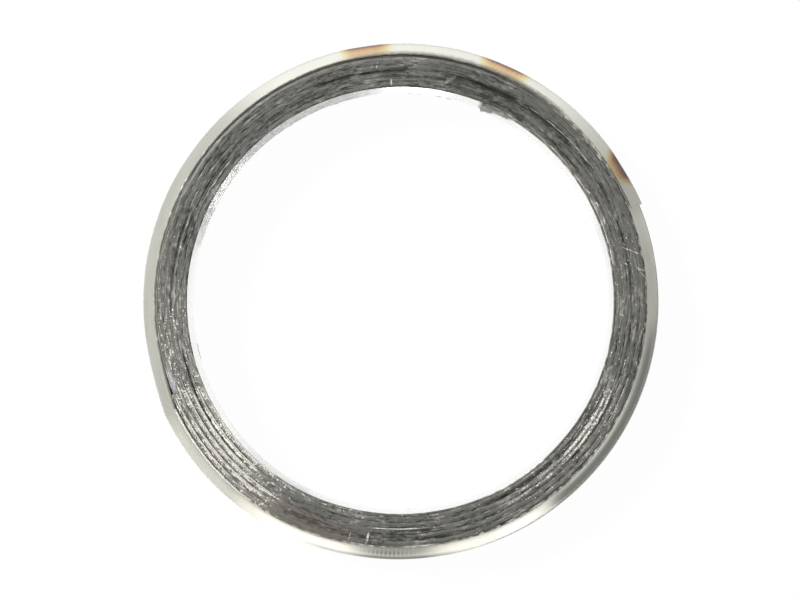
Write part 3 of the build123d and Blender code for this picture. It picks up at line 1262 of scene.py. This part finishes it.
@dataclass(frozen=True)
class GraphiteWear:
    """How the graphite lies over the steel edges, what has worn it, and the light and shade painted on it."""

    grooves: tuple[Stretch, ...] = (
        Stretch(60.0, 19.0, 29.42, 0.42, 0.3),
        Stretch(99.0, 14.0, 29.4, 0.4, 0.22),
        Stretch(22.0, 24.0, 29.38, 0.2, 0.16),
        Stretch(84.0, 14.0, 28.75, 0.35, 0.1),
        Stretch(70.0, 9.0, 28.2, 0.3, 0.12),
        Stretch(118.0, 12.0, 28.35, 0.5, 0.08),
        Stretch(153.0, 15.0, 28.5, 0.6, 0.1),
        Stretch(171.0, 15.0, 29.25, 0.22, 0.13),
        Stretch(199.0, 7.0, 28.5, 0.22, 0.2),
        Stretch(216.0, 14.0, 28.45, 0.2, 0.22),
        Stretch(254.0, 17.0, 30.3, 0.3, 0.14),
        Stretch(278.0, 10.0, 30.35, 0.3, 0.16),
        Stretch(271.0, 9.0, 29.3, 0.18, 0.18),
        Stretch(303.0, 13.0, 28.05, 0.3, 0.2),
        Stretch(325.0, 13.0, 29.55, 0.2, 0.2),
        Stretch(349.0, 13.0, 29.5, 0.2, 0.12),
        Stretch(325.0, 14.0, 28.1, 0.3, 0.12),
        Stretch(334.0, 27.0, 31.2, 0.2, 0.06),
        Stretch(207.0, 7.0, 31.6, 0.16, 0.2),
    )
    # Painted light on the face where the lamps glint along the turns, and painted shade where the amount is
    # negative
    painted_face_light: tuple[Stretch, ...] = (
        Stretch(219.0, 21.0, amount=0.8),
        Stretch(192.0, 17.0, amount=0.55),
        Stretch(316.0, 24.0, amount=0.3),
        Stretch(350.0, 32.0, amount=0.2),
        Stretch(168.0, 16.0, amount=0.1),
        Stretch(247.0, 15.0, 27.6, 0.7, 0.6),
        Stretch(135.0, 26.0, 27.4, 0.5, 0.6),
        Stretch(290.0, 30.0, 27.3, 0.4, 0.4),
        Stretch(326.0, 12.0, 29.17, 0.16, 1.6),
        Stretch(325.0, 13.0, 28.62, 0.16, 1.8),
        Stretch(108.0, 74.0, amount=-0.5),
        Stretch(255.0, 16.0, amount=-0.25),
        Stretch(305.0, 8.0, 29.17, 0.16, 1.2),
        Stretch(304.0, 9.0, 28.62, 0.16, 0.9),
    )
    fans: tuple[Stretch, ...] = (
        Stretch(218.0, 20.0, amount=1.0),
        Stretch(325.5, 13.0, 28.6, 0.9, 0.3),
    )
    ridge_highlight: float = 2.3  # of the painted highlight in specks along the ridges
    mottled: Mottle = Mottle(0.9, 0.15, 0.1, 1.6, 11)
    # Painted shade in broken lines along the outer side of the layers
    shaded_lines: tuple[Stretch, ...] = (
        Stretch(218.0, 20.0, amount=0.9),
        Stretch(282.0, 40.0, 29.4, 2.2, 0.22),
        Stretch(330.0, 30.0, 29.4, 2.2, 0.22),
        Stretch(172.0, 22.0, 29.4, 2.2, 0.3),
        Stretch(45.0, 24.0, 27.7, 0.7, 0.5),
    )
    line_breaks: Mottle = Mottle(1.3, 1.0, 0.2, 1.3, 13)
    seam: float = 0.15  # how dark the painted shade of a closed seam is
    seam_breaks: Mottle = Mottle(9.0, 1.0)
    open_gap_shade: float = 1.5  # how dark the painted shade in the open gap is
    unsealed: Stretch = Stretch(104.0, 60.0)  # where the last layer's gap is open
    deepest: float = 0.3  # groove that the finish reads as 1
    groove_breaks: Mottle = Mottle(2.3, base=0.4, swing=0.6, seed=9)
    lip_height: float = 0.006  # of a lip's tip over a bare edge
    lip_rise: float = 0.03  # of its back there
    lip_back: float = 0.6  # place of the back, as a share of the lip
    lip_breaks: Mottle = Mottle(5.0, seed=5)
    bore_lip: float = 0.6  # share of their reach that lips along the bore keep
    smear_reach: float = 0.9  # share of the edge that graphite is smeared over at the open gap
    crease: Mottle = Mottle(1.7, swing=0.04, seed=3)  # how far a lip's back stays under the face
    worn: float = 0.16  # depth at the fans, where the face is worn down, and of the lips' feet
    shoulder: float = 0.05  # width at each side of the face
    shoulder_share: float = 0.25
    face_shares: tuple[float, ...] = (0.3, 0.5, 0.7)
    relief: float = 0.05  # depth of the two patterns below
    fine_relief: Mottle = Mottle(1.3, 0.09, swing=0.5, seed=7)
    broad_relief: Mottle = Mottle(6.5, 0.16, swing=0.5, seed=8)


@dataclass(frozen=True, eq=False)
class GraphiteFace:
    """One face of the graphite strip: a row of eleven points for each angle turned.

    From the bore outwards they are the foot under the inner lip, its tip and its back,
    a shoulder, three points of the face proper, and the same four the other way round.

    The face lies at the height of the sealing face. Over the steel edge on each side a
    lip reaches as far as that edge isn't bare, level with the face where the edge is
    well covered and down at the edge where it isn't.
    """

    # Across a row: how far each point takes relief and grooves, lies near the inner or
    # the outer steel edge, and takes painted shade where the outer lip stands open
    FREE = np.array((0.0, 0.0, 0.2, 0.8, 1.0, 1.0, 1.0, 0.8, 0.2, 0.0, 0.0))
    NEAR_INNER = np.array((1.0, 1.0, 1.0, 1.0, 0.75, 0.1, 0.0, 0.0, 0.0, 0.0, 0.0))
    NEAR_OUTER = np.array((0.0, 0.0, 0.0, 0.0, 0.0, 0.0, 0.2, 1.0, 1.0, 1.0, 1.0))
    AT_OPEN_TIP = np.array((0.0, 0.0, 0.0, 0.0, 0.0, 0.0, 0.0, -0.3, -0.3, 1.0, 1.0))

    winding: Winding
    cover: Cover
    wear: GraphiteWear
    turned: np.ndarray
    side: float
    seed: int

    @cached_property
    def beyond(self) -> np.ndarray:
        """The same places as angles of the next steel turn out."""
        return self.turned + FULL_TURN

    @cached_property
    def bearing(self) -> np.ndarray:
        """Bearing of each row."""
        return self.winding.bearing(self.turned)

    @cached_property
    def inner(self) -> np.ndarray:
        """Distance of the graphite's inner side from the axis."""
        return self.winding.side(self.turned, self.winding.steel_step)

    @cached_property
    def outer(self) -> np.ndarray:
        """Distance of the graphite's outer side from the axis."""
        return self.winding.side(self.beyond, 0.0)

    @cached_property
    def covered(self) -> tuple[np.ndarray, np.ndarray]:
        """How far the inner and the outer steel edge are covered."""
        return 1 - self.cover.bare(self.turned, self.seed), 1 - self.cover.bare(self.beyond, self.seed)

    @cached_property
    def sealed(self) -> np.ndarray:
        """1 where the outer lip closes on the steel, less where the last layer's gap is open."""
        last_layer = self.turned > self.winding.graphite_end - FULL_TURN
        return 1 - self.wear.unsealed.share(self.bearing, self.inner) * last_layer

    @cached_property
    def radius(self) -> np.ndarray:
        """Distance of each point from the axis.

        Each lip reaches over its steel edge by the share that is covered there and
        that a noise along the turn leaves it. Where it isn't sealed, the outer one is
        smeared over most of the edge.

        Returns:
            A row of distances for each angle.
        """
        winding, wear, inner, outer = self.winding, self.wear, self.inner, self.outer
        covered_in, covered_out = self.covered
        inner_edge = inner - winding.side(self.turned, 0.0)
        outer_edge = winding.side(self.beyond, winding.steel_step) - outer
        share = np.where(self.turned < FULL_TURN, wear.bore_lip, 1.0)
        lip_in = inner_edge * covered_in * share * (1 - wear.lip_breaks.over(self.turned, self.seed))
        spread_out = covered_out * wear.lip_breaks.over(self.beyond, self.seed)
        lip_out = outer_edge * (spread_out * self.sealed + wear.smear_reach * (1 - self.sealed))
        thick = outer - inner
        shoulder = np.minimum(wear.shoulder, thick * wear.shoulder_share)
        inside = (inner, inner - lip_in, inner - lip_in * wear.lip_back, inner + shoulder)
        face = (inner + thick * share for share in wear.face_shares)
        outside = (outer - shoulder, outer + lip_out * wear.lip_back, outer + lip_out, outer)
        return np.concatenate((*inside, *face, *outside), axis=1)

    def lip(
        self, turned: np.ndarray, covered: np.ndarray, sealed: np.ndarray | float
    ) -> tuple[np.ndarray, np.ndarray]:
        """Heights of a lip over a steel edge, from low where that is bare to the face where covered.

        Args:
            turned: the steel's own angle.
            covered: how far the edge is covered.
            sealed: how far the lip closes on the steel.

        Returns:
            The heights of its tip and of its back.
        """
        wear, edge = self.wear, self.winding.half_width
        rise = self.winding.mid_height - edge - wear.lip_rise - wear.crease.over(turned, self.seed)
        back = edge + wear.lip_rise + rise * covered * sealed - self.worn
        low = edge + wear.lip_height
        return low + (back - low) * covered * sealed, back

    @cached_property
    def worn(self) -> np.ndarray:
        """How far the face is worn down."""
        return self.wear.worn * together(self.wear.fans, self.bearing, self.inner)

    @cached_property
    def crown(self) -> np.ndarray:
        """Height of each point before relief and grooves are taken off.

        Returns:
            A row of heights above the nose for each angle.
        """
        covered_in, covered_out = self.covered
        tip_in, back_in = self.lip(self.turned, covered_in, 1.0)
        tip_out, back_out = self.lip(self.beyond, covered_out, self.sealed)
        top = self.winding.mid_height - self.worn
        foot = np.full_like(self.turned, self.winding.half_width - self.wear.worn)
        inside = (foot, tip_in, back_in, (top + back_in) / 2)
        outside = ((top + back_out) / 2, back_out, tip_out, foot)
        return np.concatenate((*inside, top, top, top, *outside), axis=1)

    @cached_property
    def sunk(self) -> np.ndarray:
        """Depth of the grooves between the layers, on the upper face."""
        depth = together(self.wear.grooves, self.bearing, self.radius)
        return depth * self.wear.groove_breaks.over(self.turned, self.seed) * (self.side > 0)

    def points(self) -> np.ndarray:
        """Points of the face: the crown less a fine and a broad relief and the grooves.

        Returns:
            A row of points for each angle, in millimetres.
        """
        wear, seed = self.wear, self.seed
        relief = wear.fine_relief.over(self.turned, seed, self.radius)
        relief = relief + wear.broad_relief.over(self.turned, seed, self.radius)
        height = self.crown - self.FREE * wear.relief * relief
        height = (height - self.FREE * self.sunk) * self.side
        return self.winding.round_axis(self.bearing, self.radius, height)

    def marks(self) -> np.ndarray:
        """What the finish reads: how far each point is sunk, its painted light, and its painted shade along
        seams and gaps.

        Painted light and shade lie where the stretches say, with painted highlights in specks along the
        inner side of the ridges. Painted shade runs along both lips, darker at the open gap's outer
        tip, and in broken lines along the outer side.

        Returns:
            The three amounts at each point.
        """
        wear, seed, turned, bearing, radius = self.wear, self.seed, self.turned, self.bearing, self.radius
        ridge_highlight = wear.ridge_highlight * self.NEAR_INNER * wear.mottled.over(turned, seed, radius)
        ridge_highlight = ridge_highlight * together(self.cover.ridges, bearing, radius)
        painted_face_light = together(wear.painted_face_light, bearing, radius) + ridge_highlight
        seam = (1 - self.FREE) * wear.seam * wear.seam_breaks.over(turned, seed, radius)
        seam = seam + wear.open_gap_shade * (1 - self.sealed) * self.AT_OPEN_TIP
        lines = self.NEAR_OUTER * wear.line_breaks.over(turned, seed, radius)
        seam = seam + lines * together(wear.shaded_lines, bearing, radius)
        return vectors(self.sunk / wear.deepest, painted_face_light, seam)


@dataclass(frozen=True)
class GraphiteStrip:
    """The graphite strip between the steel turns, pressed over their edges on both faces."""

    winding: Winding
    cover: Cover
    wear: GraphiteWear = GraphiteWear()
    taper_lead: float = 8.0  # from the first climb's start to the graphite's inner end
    step: float = 0.55  # between rows
    side_heights: tuple[float, ...] = (0.7, 0.0, -0.7)  # of the points on the flanks
    sharp_angle: float = 50.0

    def build(self) -> bpy.types.Object:
        """The strip as one closed shell through both faces and the sides between the steel turns.

        Returns:
            The piece.
        """
        winding = self.winding
        start, end = winding.climb_from + self.taper_lead, winding.graphite_end
        turned = np.linspace(start, end, int((end - start) / self.step))[:, None]
        upper = GraphiteFace(winding, self.cover, self.wear, turned, 1.0, UPPER_SEED)
        lower = GraphiteFace(winding, self.cover, self.wear, turned, -1.0, LOWER_SEED)
        heights = np.array(self.side_heights)
        inner = winding.round_axis(upper.bearing, upper.inner, heights)
        outer = winding.round_axis(upper.bearing, upper.outer, heights)
        points = np.concatenate((upper.points(), outer, lower.points()[:, ::-1], inner[:, ::-1]), axis=1)
        piece = loft("graphite_strip", points, self.sharp_angle)
        along = np.radians(turned) * winding.bore_radius
        radius = np.hypot(points[..., 0], points[..., 1])
        write_vectors(piece, ATTRIBUTE_PLACE, vectors(along, radius, turned / FULL_TURN))
        hidden = np.zeros(inner.shape)
        marks = np.concatenate((upper.marks(), hidden, lower.marks()[:, ::-1], hidden), axis=1)
        write_vectors(piece, ATTRIBUTE_WEAR, marks)
        return piece


# Stage, lights and camera


class Lamp(Enum):
    """The studio's lamps: bearing, elevation, distance, width, height, power and colour."""

    KEY = (149.0, 29.5, 1.0, 0.3, 0.09, 20.5, (1.0, 1.0, 0.985))
    TOP = (85.0, 35.0, 0.12, 0.03, 0.03, 0.014, (1.0, 1.0, 1.0))
    LOWER_LEFT = (221.0, 42.0, 0.4, 0.07, 0.07, 0.35, (1.0, 0.975, 0.93))

    def hang(self) -> None:
        """Hang the lamp on its bearing, facing the part: its distance times the unit vector there."""
        bearing, elevation, distance, width, height, power, colour = self.value
        light = bpy.data.lights.new(self.name.lower(), "AREA")
        light.shape = "RECTANGLE"
        light.size = width
        light.size_y = height
        light.energy = power
        light.color = colour
        lamp = bpy.data.objects.new(self.name.lower(), light)
        around, up = np.radians(bearing), np.radians(elevation)
        out = Vector((np.cos(around) * np.cos(up), np.sin(around) * np.cos(up), np.sin(up)))
        lamp.location = distance * out
        lamp.rotation_euler = (-lamp.location).to_track_quat("-Z", "Y").to_euler()
        bpy.context.scene.collection.objects.link(lamp)


@dataclass(frozen=True)
class Studio:
    """A white table under a soft dome of light, dark between the horizon and a lit patch overhead."""

    floor_size: float = 3.0
    floor_drop: float = 0.00001
    sky: tuple[tuple[float, float], ...] = (
        (0.0, 1.0),
        (0.42, 1.0),
        (0.5, 0.06),
        (0.88, 0.06),
        (0.94, 0.62),
        (0.972, 0.62),
        (0.984, 1.0),
    )
    white: Colour = (1.0, 1.0, 1.0)
    seen: float = 1.0

    def build(self) -> None:
        """Lay the table, light the dome and hang the lamps."""
        mesh = bpy.data.meshes.new("table")
        half = self.floor_size / 2
        corners = [(-half, -half), (half, -half), (half, half), (-half, half)]
        mesh.from_pydata([(x, y, -self.floor_drop) for x, y in corners], [], [(0, 1, 2, 3)])
        floor = bpy.data.objects.new("table", mesh)
        bpy.context.scene.collection.objects.link(floor)
        mesh.materials.append(FloorFinish().material())
        self.light_dome()
        for lamp in Lamp:
            lamp.hang()

    def light_dome(self) -> None:
        """World light by height, as the table `sky` gives it, and plain white where the camera sees it."""
        world = bpy.data.worlds.new("dome")
        bpy.context.scene.world = world
        shader = Shader(world, "OutputWorld")
        *_, height = shader.parts(shader.node("TexCoord", {}, "Generated"))
        level = shader.ramp(height, [(place, (light,) * 3) for place, light in self.sky])
        seen_level = {"Factor": shader.ray("Is Camera Ray"), "A": level, "B": self.seen}
        strength = shader.node("Mix", seen_level, "Result")
        shader.finish(shader.node("Background", {"Color": self.white, "Strength": strength}))


@dataclass(frozen=True)
class Viewpoint:
    """The camera, nearly straight above the ring, in metres."""

    place: tuple[float, float, float] = (0.00287, -0.00362, 0.180)
    target: tuple[float, float, float] = (-0.000189, 0.000198, 0.0)
    lens: float = 61.9
    sensor: float = 36.0
    nearest: float = 0.01

    def build(self) -> None:
        """Set the camera up with the picture's upper side towards +Y."""
        data = bpy.data.cameras.new("camera")
        data.lens = self.lens
        data.sensor_width = self.sensor
        data.clip_start = self.nearest
        camera = bpy.data.objects.new("camera", data)
        back = (Vector(self.place) - Vector(self.target)).normalized()
        right = Vector((0.0, 1.0, 0.0)).cross(back).normalized()
        facing = Matrix((right, back.cross(right), back)).transposed()
        camera.matrix_world = Matrix.LocRotScale(Vector(self.place), facing, None)
        bpy.context.scene.collection.objects.link(camera)
        bpy.context.scene.camera = camera


def dress(piece: bpy.types.Object, node: str, material: bpy.types.Material) -> None:
    """Give a piece its material, and let it stand for its node on the one body.

    Args:
        piece: to dress.
        node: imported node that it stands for.
        material: its finish.
    """
    piece.data.materials.append(material)
    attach(piece, "root")
    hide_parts(node)
    log.info("%s stands for %s, %d faces", piece.name, node, len(piece.data.polygons))


def main() -> None:
    """Build the stage, then both strips."""
    logging.basicConfig(level=logging.INFO, format="%(message)s")
    bpy.context.scene.view_settings.view_transform = "Standard"
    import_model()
    winding = winding_from_frame()
    cover = Cover(winding)
    Studio().build()
    Viewpoint().build()
    steel = SteelStrip(winding, cover).build()
    dress(steel, "winding_strip", StainlessFinish().material())
    graphite = GraphiteStrip(winding, cover).build()
    dress(graphite, "graphite_filler", GraphiteFinish().material())


if __name__ == "__main__":
    main()
